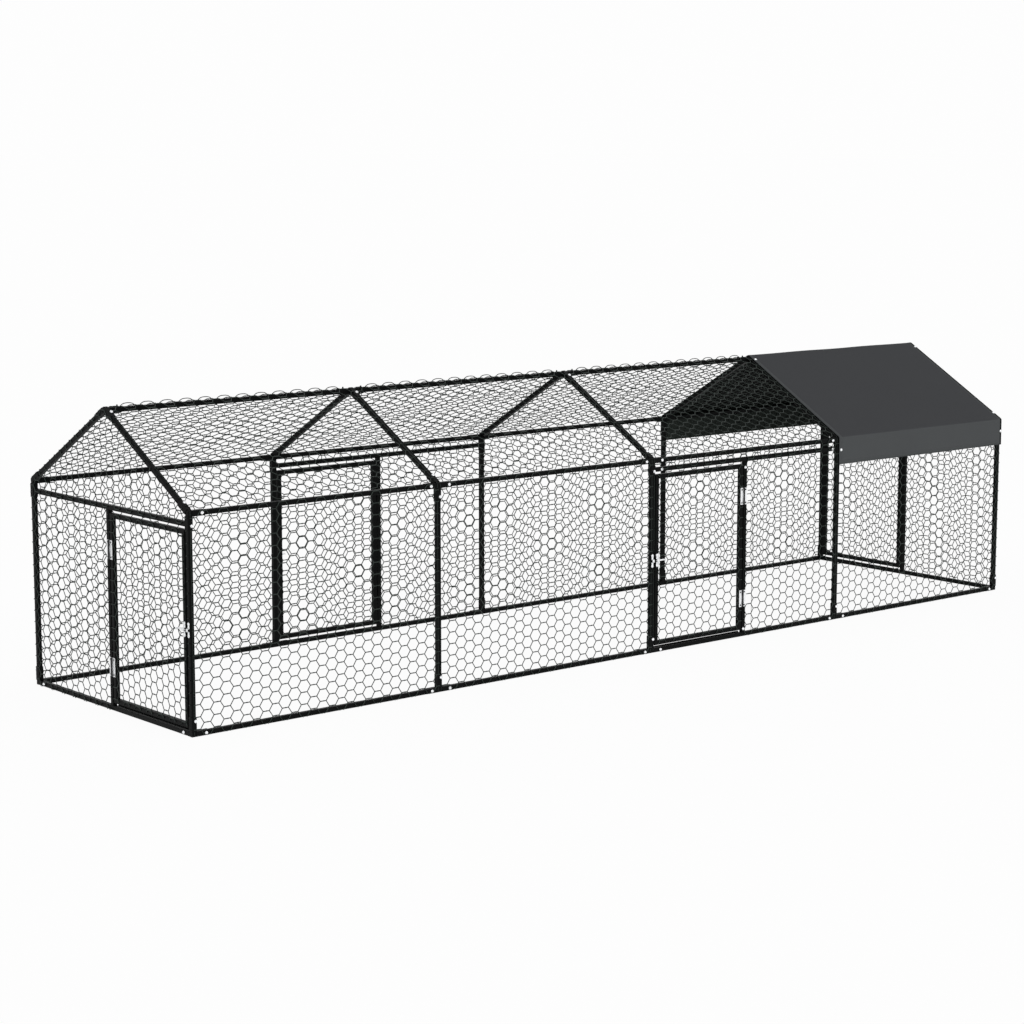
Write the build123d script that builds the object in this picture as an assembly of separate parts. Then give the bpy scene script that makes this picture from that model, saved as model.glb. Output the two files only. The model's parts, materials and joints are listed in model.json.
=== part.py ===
from build123d import *
import os
from math import cos, radians, sin, tan

# Long low poultry run with a gable roof: bolted square tube hoops and rails, wire netting between them,
# a hinged door with a slide bolt in the front, the back and both ends, and a sheet over the last bay.
# Millimetres. X runs along the run, -Y is the front, Z is up, the origin is on the ground in the middle.

# Overall sizes, measured to the outside of the tubes
run_length = 4000
run_width = 1000
eave_height = 725
roof_pitch = 30
bay_count = 4

# Frame tube and the connectors that join it
tube_side = 16
tube_wall = 0.8
tube_corner = 1.2
spigot_length = 50
spigot_clearance = 0.3
elbow_leg = 2

# Doorways
header_drop = 34
door_width = 455
door_foot_gap = 10
door_head_gap = 10
latch_gap = 8
hinge_gap = 5

# Butt hinges
leaf_width = 14
leaf_height = 64
leaf_thickness = 1.5
knuckle_radius = 3.5
knuckle_play = 0.3
pin_radius = 1.75
pin_flat_count = 8
pin_clearance = 0.05
hinge_inset = 122

# Slide bolts
strap_width = 10
strap_height = 50
strap_thickness = 1.5
bolt_radius = 3
bolt_clearance = 0.3
bolt_throw = 22
handle_height = 15

# Netting and roof cover
net_thickness = 1.6
strand_width = 5
strand_pitch = 330
cover_thickness = 1.5
cover_clearance = 0.3
cover_drop = 105
cover_overhang = 10

# Places worked out from the sizes above
half_length = run_length / 2
half_width = run_width / 2
bay_length = run_length / bay_count
rise = tan(radians(roof_pitch))
slant = 1 / cos(radians(roof_pitch))
ridge_height = eave_height + half_width * rise
inner_posts = [bay_length * i - half_length for i in range(1, bay_count)]
hoops = [tube_side / 2 - half_length, *inner_posts, half_length - tube_side / 2]
rail_line = half_width - tube_side / 2
end_line = half_length - tube_side / 2
header_top = eave_height - header_drop
header_bottom = header_top - tube_side
ridge_rail_top = ridge_height - tube_side / 2 * rise
eave_inner_corner = eave_height + tube_side * rise - tube_side * slant
ridge_inner_corner = ridge_height - tube_side * slant
post_top = eave_inner_corner - elbow_leg
door_foot = tube_side + door_foot_gap
door_height = header_bottom - door_head_gap - door_foot
door_middle = door_foot + door_height / 2
front_door_bay = bay_count // 2
back_door_bay = front_door_bay - 1
hinge_standoff = knuckle_radius + knuckle_play
door_near = hinge_gap / 2
door_far = door_near + door_width
jamb_offset = (hinge_gap + tube_side) / 2
bolt_axis = bolt_radius + bolt_clearance

LEFT, RIGHT = Vector(-1, 0, 0), Vector(1, 0, 0)
FRONT, BACK = Vector(0, -1, 0), Vector(0, 1, 0)
UP, DOWN = Vector(0, 0, 1), Vector(0, 0, -1)


def block(low, high):
    """A box between two opposite corners."""
    size = [b - a for a, b in zip(low, high)]
    return Pos(*low) * Box(*size, align=(Align.MIN, Align.MIN, Align.MIN))


def bar(section, start, end, across):
    """A section carried in a straight line from start to end, its own X along across."""
    run = Vector(*end) - Vector(*start)
    return extrude(Plane(origin=start, x_dir=across, z_dir=run) * section, run.length)


def tube(start, end, across):
    """A square-cut length of the frame's hollow square tube."""
    outside = Rectangle(tube_side, tube_side)
    bore = tube_side - 2 * tube_wall
    section = chamfer(outside.vertices(), tube_corner) - Rectangle(bore, bore)
    return bar(section, start, end, across)


def spigot(root, way, across):
    """A solid square stub that plugs into a tube's bore."""
    side = tube_side - 2 * (tube_wall + spigot_clearance)
    root = Vector(*root)
    return bar(Rectangle(side, side), root, root + way * spigot_length, across)


def mirrored_back(solids):
    """The back's copies of pieces modelled on the front."""
    return [mirror(solid, Plane.XZ) for solid in solids]


def hoop_profile(points, x):
    """A flat outline in Y and Z, one tube deep along the run and centred on a hoop."""
    outline = make_face(Polyline(*points, close=True))
    return extrude(Plane(origin=(x - tube_side / 2, 0, 0), x_dir=BACK, z_dir=RIGHT) * outline, tube_side)


def along_run(x):
    """The ways that rails leave a hoop: both ways, or only inwards at the two ends."""
    ways = []
    if x > hoops[0]:
        ways.append(LEFT)
    if x < hoops[-1]:
        ways.append(RIGHT)
    return ways


def rail_spigots(x, y, z):
    """The stubs on a hoop's side faces that carry the rails along the run."""
    return [spigot(Vector(x, y, z) + way * (tube_side / 2), way, BACK) for way in along_run(x)]


def ground_connector(x):
    """A corner block on the ground with stubs for the post, the rails and, at the ends, the cross rail."""
    middle = tube_side / 2
    hub = block((x - middle, -half_width, 0), (x + middle, tube_side - half_width, tube_side))
    stubs = rail_spigots(x, -rail_line, middle)
    stubs.append(spigot((x, -rail_line, tube_side), UP, RIGHT))
    if x in (hoops[0], hoops[-1]):
        stubs.append(spigot((x, tube_side - half_width, middle), BACK, RIGHT))
    return hub + stubs


# The rafter's direction up the front slope, and the way out of that slope
SLOPE = Vector(0, cos(radians(roof_pitch)), sin(radians(roof_pitch)))
OUT = Vector(0, -sin(radians(roof_pitch)), cos(radians(roof_pitch)))


def eave_connector(x):
    """A mitred elbow from post to rafter, with stubs for both and for the eave rails."""
    inner = Vector(x, tube_side - half_width, eave_inner_corner)
    under = inner + SLOPE * elbow_leg
    over = under + OUT * tube_side
    points = [(-half_width, post_top), (-half_width, eave_height), (over.Y, over.Z), (under.Y, under.Z)]
    points += [(inner.Y, inner.Z), (inner.Y, post_top)]
    stubs = rail_spigots(x, -rail_line, eave_height - tube_side / 2)
    stubs.append(spigot((x, -rail_line, post_top), DOWN, RIGHT))
    stubs.append(spigot(under + OUT * (tube_side / 2), SLOPE, RIGHT))
    return hoop_profile(points, x) + stubs


def ridge_connector(x):
    """A mitred elbow between the two rafters, with stubs for both and for the ridge rails."""
    under = Vector(x, 0, ridge_inner_corner) - SLOPE * elbow_leg
    over = under + OUT * tube_side
    points = [(under.Y, under.Z), (over.Y, over.Z), (0, ridge_height)]
    points += [(-over.Y, over.Z), (-under.Y, under.Z), (0, ridge_inner_corner)]
    front_stub = spigot(under + OUT * (tube_side / 2), SLOPE * -1, RIGHT)
    stubs = [front_stub, *mirrored_back([front_stub])]
    return hoop_profile(points, x) + stubs + rail_spigots(x, 0, ridge_rail_top - tube_side / 2)


def post(x):
    """An upright between the ground connector and the eave connector."""
    return tube((x, -rail_line, tube_side), (x, -rail_line, post_top), RIGHT)


def rafter(x):
    """A sloping tube between the eave connector and the ridge connector."""
    middle = OUT * (tube_side / 2)
    foot = Vector(x, tube_side - half_width, eave_inner_corner) + SLOPE * elbow_leg + middle
    head = Vector(x, 0, ridge_inner_corner) - SLOPE * elbow_leg + middle
    return tube(foot, head, RIGHT)


def bays():
    """The clear span between each pair of neighbouring hoops."""
    return [(a + tube_side / 2, b - tube_side / 2) for a, b in zip(hoops, hoops[1:])]


def rails(y, z):
    """One rail in each bay, along a line of the frame."""
    return [tube((a, y, z), (b, y, z), BACK) for a, b in bays()]


def end_rails(x, z):
    """A cross rail between the two corner posts of an end."""
    return tube((x, tube_side - half_width, z), (x, half_width - tube_side, z), RIGHT)


def long_header(bay, y):
    """The rail over a doorway in a long side."""
    a, b = bays()[bay]
    z = header_top - tube_side / 2
    return tube((a, y, z), (b, y, z), BACK)


# Each door: the latch post's edge on the outer face, the way across the door to it, and the way out
doorways = {
    "front_door": (Vector(hoops[front_door_bay] + tube_side / 2, -half_width), LEFT, FRONT),
    "back_door": (Vector(hoops[back_door_bay] + tube_side / 2, half_width), LEFT, BACK),
    "left_end_door": (Vector(-half_length, tube_side - half_width), FRONT, LEFT),
    "right_end_door": (Vector(half_length, half_width - tube_side), BACK, RIGHT),
}


def hinge_line(doorway):
    """The foot of the hinge axis, in front of the gap between the door and its jamb."""
    latch_edge, across, outward = doorway
    return latch_edge - across * (latch_gap + door_width + hinge_gap / 2) + outward * hinge_standoff


def door_frame_of_reference(doorway):
    """The door's own axes: X across it from the hinge, Y out of it, Z along the hinge axis."""
    latch_edge, across, outward = doorway
    origin = hinge_line(doorway) + UP * door_middle
    return Plane(origin=origin, x_dir=across, z_dir=across.cross(outward)).location


def jamb_middle(doorway):
    """The centre of the jamb's section, at ground level."""
    latch_edge, across, outward = doorway
    return hinge_line(doorway) - across * jamb_offset - outward * (hinge_standoff + tube_side / 2)


def jamb(doorway):
    """The upright that a door hangs on, between the ground rail and the header."""
    foot = jamb_middle(doorway)
    return tube(foot + UP * tube_side, foot + UP * header_bottom, RIGHT)


def mitred_tube(start, end, inward):
    """One side of a door frame, its ends cut at 45 degrees; start and end are the frame's outer corners."""
    middle = inward * (tube_side / 2) + FRONT * (hinge_standoff + tube_side / 2)
    length = tube(start + middle, end + middle, BACK)
    run = (end - start).normalized() * tube_side
    corners = [start, end, end - run + inward * tube_side, start + run + inward * tube_side]
    wedge = make_face(Polyline(*[(p.X, p.Z) for p in corners], close=True))
    depth = hinge_standoff + tube_side
    return length & extrude(Plane.XZ * wedge, depth, both=True)


def door_frame():
    """Four mitred tubes round the door's opening."""
    low, high = -door_height / 2, door_height / 2
    foot_near, foot_far = Vector(door_near, 0, low), Vector(door_far, 0, low)
    head_near, head_far = Vector(door_near, 0, high), Vector(door_far, 0, high)
    return [
        mitred_tube(foot_near, head_near, RIGHT),
        mitred_tube(head_far, foot_far, LEFT),
        mitred_tube(foot_far, foot_near, UP),
        mitred_tube(head_near, head_far, DOWN),
    ]


def spaced_strands(low, span):
    """The middles of the strands between the two ends of a span, about one pitch apart."""
    count = max(1, round(span / strand_pitch))
    return [low + span * i / count for i in range(1, count)]


def net_panel(outline):
    """Netting drawn coarse: a selvedge round its outline, and strands across it both ways."""
    box = outline.bounding_box()
    middle = box.center()
    if min(box.size.X, box.size.Y) < 4 * strand_width:
        # A strip too narrow for a row of openings is all selvedge.
        return outline
    openings = offset(outline, -strand_width, kind=Kind.INTERSECTION)
    for x in spaced_strands(box.min.X, box.size.X):
        openings -= Pos(x, middle.Y) * Rectangle(strand_width, box.size.Y)
    for y in spaced_strands(box.min.Y, box.size.Y):
        openings -= Pos(middle.X, y) * Rectangle(box.size.X, strand_width)
    return outline - openings


def net_rectangle(width, height):
    """A rectangular panel of netting with its lower left corner at the origin."""
    return net_panel(Rectangle(width, height, align=(Align.MIN, Align.MIN)))


def door_netting():
    """The netting in a door frame, flush with its outer face."""
    width, height = door_width - 2 * tube_side, door_height - 2 * tube_side
    corner = (door_near + tube_side, -hinge_standoff, -height / 2)
    outer_face = Plane(origin=corner, x_dir=RIGHT, z_dir=FRONT)
    return [extrude(outer_face * net_rectangle(width, height), net_thickness)]


def knuckle(low, high, bore_radius=0):
    """One barrel of a hinge, bored or closed, with the tongue that joins it to the door's leaf."""
    root = knuckle_radius + knuckle_play
    tongue = Pos(0, -hinge_standoff) * Rectangle(root, leaf_thickness, align=(Align.MIN, Align.MIN))
    section = Circle(knuckle_radius) + tongue
    if bore_radius:
        section -= Circle(bore_radius)
    return extrude(Pos(0, 0, low) * section, high - low)


def hinge_heights():
    """The hinges' centres, above and below the door's middle."""
    reach = door_height / 2 - hinge_inset
    return [-reach, reach]


def leaf_plate():
    """The flat of a hinge leaf, on the door's side."""
    root = knuckle_radius + knuckle_play
    low = (root, -hinge_standoff, -leaf_height / 2)
    high = (door_near + leaf_width, leaf_thickness - hinge_standoff, leaf_height / 2)
    return block(low, high)


def door_leaves():
    """The hinge leaves on the door, each with a middle knuckle that turns on the pin."""
    reach = leaf_height / 6 - knuckle_play
    leaf = leaf_plate() + knuckle(-reach, reach, pin_radius + pin_clearance)
    return [Pos(0, 0, z) * leaf for z in hinge_heights()]


def jamb_leaves():
    """The hinge leaves on the jamb, each with two closed outer knuckles that hold the pin."""
    third, end = leaf_height / 6, leaf_height / 2
    leaf = leaf_plate() + knuckle(third, end) + knuckle(-end, -third)
    return [Pos(0, 0, z) * mirror(leaf, Plane.YZ) for z in hinge_heights()]


def hinge_pins():
    """The pins between the jamb's knuckles, through the door's, with flats in place of a full round."""
    pin = extrude(RegularPolygon(pin_radius, pin_flat_count), leaf_height / 6, both=True)
    return [Pos(0, 0, z) * pin for z in hinge_heights()]


def bolt_strap(middle):
    """An upright strap pressed into a hat over the slide bolt, centred across a tube."""
    inner = 2 * bolt_axis
    outer = inner + 2 * strap_thickness
    foot = (Align.CENTER, Align.MIN)
    hat = Rectangle(strap_height, strap_thickness, align=foot)
    hat += Rectangle(outer, inner + strap_thickness, align=foot)
    section = hat - Rectangle(inner, inner, align=foot)
    face = Plane(origin=(middle, -hinge_standoff, 0), x_dir=DOWN, z_dir=RIGHT)
    return extrude(face * section, strap_width / 2, both=True)


def latch_strap():
    """The strap that guides the bolt, on the door's latch side."""
    return [bolt_strap(door_far - tube_side / 2)]


def latch_keeper():
    """The strap that the bolt shoots into, on the latch post."""
    return [bolt_strap(door_far + latch_gap + tube_side / 2)]


def slide_bolt():
    """The drawn bolt: a round rod bent up into a handle that stops against the strap when it is shot."""
    margin = (tube_side - strap_width) / 2
    tip = door_far - margin
    handle = tip - strap_width - bolt_clearance - bolt_radius - bolt_throw
    height = bolt_axis - hinge_standoff
    line = Polyline((tip, height, 0), (handle, height, 0), (handle, handle_height - hinge_standoff, 0))
    section = Plane(origin=(tip, height, 0), x_dir=UP, z_dir=LEFT) * Circle(bolt_radius)
    return [sweep(section, path=line, transition=Transition.RIGHT)]


def wall_net(x0, x1, z0, z1):
    """Netting in an opening of the front wall, flush with the tubes' outer faces."""
    outer_face = Plane(origin=(x0, -half_width, z0), x_dir=RIGHT, z_dir=FRONT)
    return extrude(outer_face * net_rectangle(x1 - x0, z1 - z0), -net_thickness)


def long_wall_netting(doorway, door_bay):
    """Netting for a long side, modelled at the front: each bay, and what a doorway leaves of its bay."""
    eave_under = eave_height - tube_side
    nets = []
    for number, (a, b) in enumerate(bays()):
        if number == door_bay:
            jamb_far = jamb_middle(doorway).X + tube_side / 2
            nets.append(wall_net(jamb_far, b, tube_side, header_bottom))
            nets.append(wall_net(a, b, header_top, eave_under))
        else:
            nets.append(wall_net(a, b, tube_side, eave_under))
    return nets


def roof_netting():
    """Netting on the front slope, from the eave rail's top to the ridge rail's side."""
    foot = Vector(0, -half_width, eave_height) + SLOPE * (net_thickness / rise)
    ridge_side = Vector(0, -tube_side / 2, ridge_rail_top)
    reach = (ridge_side - foot).dot(SLOPE) - net_thickness * rise
    nets = []
    for a, b in bays():
        slope = Plane(origin=foot + RIGHT * a, x_dir=RIGHT, z_dir=OUT)
        nets.append(extrude(slope * net_rectangle(b - a, reach), -net_thickness))
    return nets


def left_end_netting():
    """Netting in the left end: the gable over the header, and beside the door."""
    inner = half_width - tube_side
    gable = [(-inner, header_top), (inner, header_top), (inner, eave_inner_corner)]
    gable += [(0, ridge_inner_corner), (-inner, eave_inner_corner)]
    outer_face = Plane(origin=(-half_length, 0, 0), x_dir=BACK, z_dir=RIGHT)
    gable_net = net_panel(make_face(Polyline(*gable, close=True)))
    jamb_far = jamb_middle(doorways["left_end_door"]).Y + tube_side / 2
    side_net = Pos(jamb_far, tube_side) * net_rectangle(inner - jamb_far, header_bottom - tube_side)
    return [extrude(outer_face * net, net_thickness) for net in (gable_net, side_net)]


def right_end_netting():
    """The left end's netting turned half round."""
    return [Rot(0, 0, 180) * net for net in left_end_netting()]


def cover_edge(gap):
    """The cover's line over one bay of the frame at a given distance from it, from hem to hem."""
    side = half_width + gap
    eave = eave_height + gap * (slant - rise)
    hem = eave_height - cover_drop
    ridge = ridge_height + gap * slant
    return [(-side, hem), (-side, eave), (0, ridge), (side, eave), (side, hem)]


def roof_cover():
    """The waterproof sheet over the last bay, bent at the ridge and the eaves."""
    inside = cover_edge(cover_clearance)
    outside = cover_edge(cover_clearance + cover_thickness)
    outline = make_face(Polyline(*outside, *reversed(inside), close=True))
    length = half_length + cover_overhang - hoops[-2]
    return [extrude(Plane(origin=(hoops[-2], 0, 0), x_dir=BACK, z_dir=RIGHT) * outline, length)]


def save(name, solids):
    """Writes one named piece, or one group of like pieces."""
    export_step(Compound(label=name, children=list(solids)), f"parts/{name}.step")


os.makedirs("parts", exist_ok=True)

middle_hoops, end_hoops = hoops[1:-1], [hoops[0], hoops[-1]]
for group, connector in (("ground", ground_connector), ("eave", eave_connector)):
    for kind, places in (("corner", end_hoops), ("tee", middle_hoops)):
        front_side = [connector(x) for x in places]
        save(f"{group}_{kind}_connectors", front_side + mirrored_back(front_side))
save("ridge_end_connectors", [ridge_connector(x) for x in end_hoops])
save("ridge_tee_connectors", [ridge_connector(x) for x in middle_hoops])

for name, member in (("posts", post), ("rafters", rafter)):
    front_side = [member(x) for x in hoops]
    save(f"front_{name}", front_side)
    save(f"back_{name}", mirrored_back(front_side))

for name, z in (("ground_rails", tube_side / 2), ("eave_rails", eave_height - tube_side / 2)):
    save(f"front_{name}", rails(-rail_line, z))
    save(f"back_{name}", rails(rail_line, z))
save("ridge_rails", rails(0, ridge_rail_top - tube_side / 2))
save("end_ground_rails", [end_rails(x, tube_side / 2) for x in (-end_line, end_line)])
save("end_headers", [end_rails(x, header_top - tube_side / 2) for x in (-end_line, end_line)])
save("front_header", [long_header(front_door_bay, -rail_line)])
save("back_header", [long_header(back_door_bay, rail_line)])
save("door_jambs", [jamb(doorway) for doorway in doorways.values()])

front_slope = roof_netting()
save("front_roof_netting", front_slope)
save("back_roof_netting", mirrored_back(front_slope))
save("front_wall_netting", long_wall_netting(doorways["front_door"], front_door_bay))
save("back_wall_netting", mirrored_back(long_wall_netting(doorways["back_door"], back_door_bay)))
save("left_end_netting", left_end_netting())
save("right_end_netting", right_end_netting())
save("roof_cover", roof_cover())

door_pieces = {
    "frame": door_frame,
    "netting": door_netting,
    "hinge_leaves": door_leaves,
    "jamb_leaves": jamb_leaves,
    "latch_strap": latch_strap,
    "latch_keeper": latch_keeper,
    "slide_bolt": slide_bolt,
}
all_pins = []
for name, doorway in doorways.items():
    place = door_frame_of_reference(doorway)
    for piece, make in door_pieces.items():
        save(f"{name}_{piece}", [place * solid for solid in make()])
    all_pins += [place * pin for pin in hinge_pins()]
save("hinge_pins", all_pins)
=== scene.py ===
"""Looks of a long low poultry run, built as an add-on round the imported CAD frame."""
import json

import bpy
import numpy as np
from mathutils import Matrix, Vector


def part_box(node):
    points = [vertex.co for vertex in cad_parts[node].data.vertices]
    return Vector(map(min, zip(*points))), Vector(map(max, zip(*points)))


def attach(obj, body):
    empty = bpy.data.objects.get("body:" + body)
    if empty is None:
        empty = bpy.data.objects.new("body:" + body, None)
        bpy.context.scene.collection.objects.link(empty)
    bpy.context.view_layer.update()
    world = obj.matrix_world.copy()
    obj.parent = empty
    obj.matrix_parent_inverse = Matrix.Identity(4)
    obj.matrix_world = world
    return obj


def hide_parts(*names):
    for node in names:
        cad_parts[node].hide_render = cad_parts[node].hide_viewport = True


bl_info = {
    "name": "Poultry run",
    "version": (1, 0, 0),
    "blender": (4, 5, 0),
    "location": "View3D > Sidebar > Poultry run",
    "description": "Wire netting, bolts, latches, roof cover and finishes of a poultry run",
    "category": "Object",
}

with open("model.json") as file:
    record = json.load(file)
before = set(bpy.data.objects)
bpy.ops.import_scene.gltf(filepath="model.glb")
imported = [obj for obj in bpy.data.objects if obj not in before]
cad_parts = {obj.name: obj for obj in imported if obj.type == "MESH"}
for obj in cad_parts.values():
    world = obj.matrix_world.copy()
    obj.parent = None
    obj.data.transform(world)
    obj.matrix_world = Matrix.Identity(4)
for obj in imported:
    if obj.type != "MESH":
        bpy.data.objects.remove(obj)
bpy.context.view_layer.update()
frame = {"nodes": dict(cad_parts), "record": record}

MM = 0.001
DOORS = ("front_door", "back_door", "left_end_door", "right_end_door")
ROOFS = ("front_roof", "back_roof")

# Lines of the frame, read from the CAD nodes
POSTS_LOW, POSTS_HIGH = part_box("front_posts")
HEADER_LOW, HEADER_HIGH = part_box("front_header")
HALF_LENGTH = POSTS_HIGH.x
HALF_WIDTH = -POSTS_LOW.y
TUBE = HEADER_HIGH.z - HEADER_LOW.z
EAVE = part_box("front_eave_rails")[1].z
RIDGE_RAIL_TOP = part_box("ridge_rails")[1].z
BAYS = 4
PITCH = np.radians(30)
SLOPE_LENGTH = HALF_WIDTH / np.cos(PITCH)
BAY_LINES = np.linspace(-HALF_LENGTH, HALF_LENGTH, BAYS + 1)
HOOPS = np.clip(BAY_LINES, TUBE / 2 - HALF_LENGTH, HALF_LENGTH - TUBE / 2)
COVER_START = HOOPS[-2]

# The CAD's hinge leaves: their height, their sheet, and their middles from the door's edge
LEAF_HEIGHT = 64 * MM
LEAF_SHEET = 1.5 * MM
LEAF_MIDDLE = {"hinge_leaves": -7.6 * MM, "jamb_leaves": 12.6 * MM}

# The nets: their margin inside a face, the height of their lowest twists, and the room they leave round a
# door, a fitting and a slide bolt's line
NET_MARGIN = 1.5 * MM
NET_FOOT = 3 * MM
DOORWAY_GAP = 9.5 * MM
FITTING_ROOM = 2 * MM
BOLT_WAY = 6 * MM

# Faces of the run: a point on the outer face, the way along it, the way up it and the way out of it
FLAT, STEEP = np.cos(PITCH), np.sin(PITCH)
FACES = {
    "front_wall": np.array([(0, -HALF_WIDTH, 0), (1, 0, 0), (0, 0, 1), (0, -1, 0)]),
    "back_wall": np.array([(0, HALF_WIDTH, 0), (-1, 0, 0), (0, 0, 1), (0, 1, 0)]),
    "left_end": np.array([(-HALF_LENGTH, 0, 0), (0, -1, 0), (0, 0, 1), (-1, 0, 0)]),
    "right_end": np.array([(HALF_LENGTH, 0, 0), (0, 1, 0), (0, 0, 1), (1, 0, 0)]),
    "front_roof": np.array([(0, -HALF_WIDTH, EAVE), (1, 0, 0), (0, FLAT, STEEP), (0, -STEEP, FLAT)]),
    "back_roof": np.array([(0, HALF_WIDTH, EAVE), (-1, 0, 0), (0, -FLAT, STEEP), (0, STEEP, FLAT)]),
}
DOOR_FACE = dict(zip(DOORS, FACES))


def linear(code):
    """The linear colour of an sRGB hex code, with full alpha."""
    srgb = np.array([int(code[i:i + 2], 16) for i in (0, 2, 4)]) / 255
    light = np.where(srgb <= 0.04045, srgb / 12.92, ((srgb + 0.055) / 1.055) ** 2.4)
    return (*map(float, light), 1.0)


def length(name, description, size):
    """A size that a user may change, given in millimetres and held in metres."""
    return bpy.props.FloatProperty(name=name, description=description, default=size * MM, min=0,
                                   unit="LENGTH", precision=5)


def colour(name, description, code):
    """A colour that a user may change, from its sRGB hex code."""
    return bpy.props.FloatVectorProperty(name=name, description=description, default=linear(code), size=4,
                                         min=0, max=1, subtype="COLOR")


class RunSizes(bpy.types.PropertyGroup):
    """Sizes of the pieces that are made here."""

    mesh_height: length("Mesh height", "Height of one hexagon", 40)
    mesh_column: length("Mesh column", "Distance between two columns of hexagons", 37.6)
    mesh_start: length("Mesh start", "From a bay's start to its first low column", 56)
    end_start: length("End start", "From an end's start to its first low column", 47.5)
    door_start: length("Door start", "From a side door's edge to its first low column", 74)
    end_door_column: length("End door column", "Distance between columns on the ends' doors", 35.1)
    end_door_start: length("End door start", "From an end door's edge to its first low column", 49.5)
    mesh_slack: length("Mesh slack", "How far slack pulls a mesh out of true", 0.4)
    twist_length: length("Twist length", "Length of a hexagon's twisted edge", 25)
    arch_start: length("Arch start", "From a bay's start to its first arch", 91.7)
    arch_width: length("Arch width", "Width of an arch of wire on the ridge", 56)
    arch_height: length("Arch height", "Height of an arch over the ridge rail", 10)
    wire_diameter: length("Wire diameter", "Diameter of one coated wire", 3.4)
    selvedge_inset: length("Selvedge inset", "From a selvedge wire to the edge of its net", 6.5)
    selvedge_diameter: length("Selvedge diameter", "Diameter of a selvedge wire", 1.6)
    bolt_head: length("Bolt head", "Diameter of a frame bolt's head", 11.5)
    bolt_height: length("Bolt height", "Height of a frame bolt's head", 3.6)
    stud: length("Stud", "Diameter of a bolt's end on the ridge", 6)
    stud_height: length("Stud height", "How far a bolt's end stands over the ridge", 7)
    screw_head: length("Screw head", "Diameter of a hinge screw's head", 6.6)
    screw_height: length("Screw height", "Height of a hinge screw's head", 0.9)
    strap_width: length("Strap width", "Width of a latch strap at its round ends", 11.5)
    strap_bridge: length("Strap bridge", "Width of a latch strap over the bolt", 9.6)
    strap_waist: length("Strap waist", "Width of a latch strap between its lobes", 8)
    strap_thickness: length("Strap thickness", "Thickness of a latch strap", 1.5)
    sleeve_wall: length("Sleeve wall", "Thickness of a joint's sleeve", 1.5)
    sleeve_reach: length("Sleeve reach", "Length of a joint's sleeve along its tube", 48)
    sill_top: length("Sill top", "Height of the stop strip at a door's foot", 20)
    sill_thickness: length("Sill thickness", "Thickness of the stop strip at a door's foot", 2)
    cover_lift: length("Cover lift", "Gap from the tubes to the cover, for the net", 3.5)
    cover_overhang: length("Cover overhang", "How far the cover stands past the right end", 2)
    cover_thickness: length("Cover thickness", "Thickness of the cover's cloth", 0.8)
    cover_hem: length("Cover hem", "Width of the cover's sewn hem", 18)


class RunColours(bpy.types.PropertyGroup):
    """Colours of the finishes."""

    tube: colour("Tube", "Black powder coat", "040505")
    tube_dust: colour("Tube dust", "Powder coat dulled by dust", "0c0d0d")
    wire: colour("Wire", "Coated netting wire", "2f3733")
    wire_shade: colour("Wire shade", "Darker stretches of the wire's coat", "1f2522")
    zinc: colour("Zinc", "Bright zinc plate", "f3f4f5")
    zinc_shade: colour("Zinc shade", "Duller stretches of the zinc plate", "dcdee0")
    # Painted shade: the hinge knuckles are painted dark to stand for the shade in the gap between a hinge's
    # leaves.
    knuckle_painted_shade: colour("Knuckle", "Oiled steel of the hinge knuckles", "1b1c1d")
    screw: colour("Screw", "Blackened screw heads", "1d1d1f")
    cover: colour("Cover", "Coated cloth of the cover", "3c3d3f")
    cover_shade: colour("Cover shade", "Threads in the shade of the weave", "323335")
    # Painted light: the skirts are painted paler than the slopes, to stand for the light that falls on the
    # upright skirts from the front.
    skirt: colour("Skirt", "Cloth of the cover's skirts, paler with dust", "47494a")
    hem: colour("Hem", "Double cloth of the cover's hem", "434546")
    lining: colour("Lining", "Black coat under the cover, and its black binding", "060706")
    # Painted light: the lining is painted paler inside the skirts, for the light from the front that reaches
    # it there.
    lining_painted_light: colour("Worn lining", "Black coat rubbed grey inside the skirts", "262a27")
    floor: colour("Floor", "Pale studio floor", "fbfbfb")


def add_node(tree, kind, sockets=(), **settings):
    """Adds a shader node; sockets gives its inputs a value, or a link from a node's named or first output."""
    made = tree.nodes.new("ShaderNode" + kind)
    for key, value in settings.items():
        setattr(made, key, value)
    for key, value in dict(sockets).items():
        if isinstance(value, bpy.types.Node):
            value = (value, next(out.name for out in value.outputs if out.enabled))
        if isinstance(value, tuple) and isinstance(value[0], bpy.types.Node):
            tree.links.new(value[0].outputs[value[1]], made.inputs[key])
        else:
            made.inputs[key].default_value = value
    return made


def surface(tree, **sockets):
    """Ends a node tree in one Principled shader; a socket's name has _ for each space."""
    named = {key.replace("_", " "): value for key, value in sockets.items()}
    shader = add_node(tree, "BsdfPrincipled", named)
    add_node(tree, "OutputMaterial", {"Surface": shader})


def drift(tree, across, detail, smooth, rough):
    """The piece's coordinates, noise in clouds so far across, and a roughness that goes with the noise."""
    place = (add_node(tree, "TexCoord"), "Object")
    cloud = (add_node(tree, "TexNoise", {"Vector": place, "Scale": 1 / across, "Detail": detail}), "Fac")
    return place, cloud, add_node(tree, "MapRange", {"Value": cloud, "To Min": smooth, "To Max": rough})


def powder_coat(tree, colours):
    """Polyester powder cured on steel tube: satin black, with a fine orange peel and dust that dulls it."""
    # The dust drifts over about 150 mm; orange peel has bumps about 1.5 mm across.
    place, dust, rough = drift(tree, 150 * MM, 6.0, 0.34, 0.5)
    peel = add_node(tree, "TexNoise", {"Vector": place, "Scale": 1 / (1.5 * MM), "Detail": 2.0})
    shades = {"Factor": dust, "A": colours.tube, "B": colours.tube_dust}
    base = add_node(tree, "Mix", shades, data_type="RGBA")
    bump = add_node(tree, "Bump", {"Height": (peel, "Fac"), "Strength": 0.15, "Distance": 0.1 * MM})
    surface(tree, Base_Color=base, Roughness=rough, Normal=bump, Specular_IOR_Level=0.05)


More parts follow.
